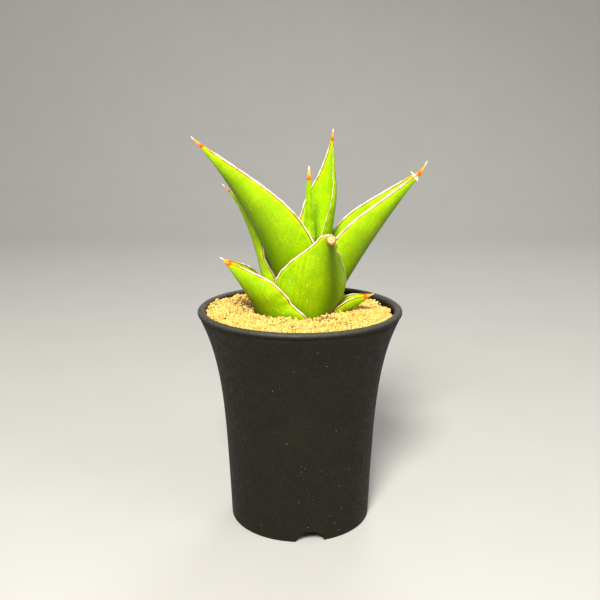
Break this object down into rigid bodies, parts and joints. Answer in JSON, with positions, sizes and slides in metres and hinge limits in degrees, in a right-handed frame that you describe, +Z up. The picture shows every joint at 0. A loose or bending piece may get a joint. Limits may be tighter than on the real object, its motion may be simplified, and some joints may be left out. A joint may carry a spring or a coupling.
{
  "type": "potted snake plant",
  "caption": "Short snake plant with channelled, spine-tipped fleshy leaves on an underground stem, in a flared round plastic pot topped with baked-clay granules.",
  "frame": {"origin": "middle of the footprint of the whole object, on the surface it stands on; the pot's axis is 5.3 mm to the -X side of it", "axes": "+Z up along the pot's axis; +X towards the long leaf on the right; -Y towards the side with the short, healed leaf"},
  "size_m": [0.1154, 0.1048, 0.2026],
  "materials": {
    "pot_plastic": "matte",
    "potting_mix": "matte",
    "clay_granules": "matte",
    "underground_stem": "matte",
    "leaf": "satin",
    "leaf_margin": "matte",
    "leaf_spine": "satin"
  },
  "bodies": {
    "root": {"pot": "pot_plastic", "potting_mix": "potting_mix", "top_dressing": "clay_granules", "rhizome": "underground_stem", "root_1": "underground_stem", "root_2": "underground_stem", "root_3": "underground_stem", "root_4": "underground_stem", "root_5": "underground_stem", "leaf_tall_left": "leaf", "leaf_tall_right": "leaf", "leaf_back": "leaf", "leaf_front": "leaf", "leaf_low_left": "leaf", "leaf_narrow_left": "leaf", "leaf_low_right": "leaf", "leaf_centre": "leaf"}
  },
  "joints": []
}
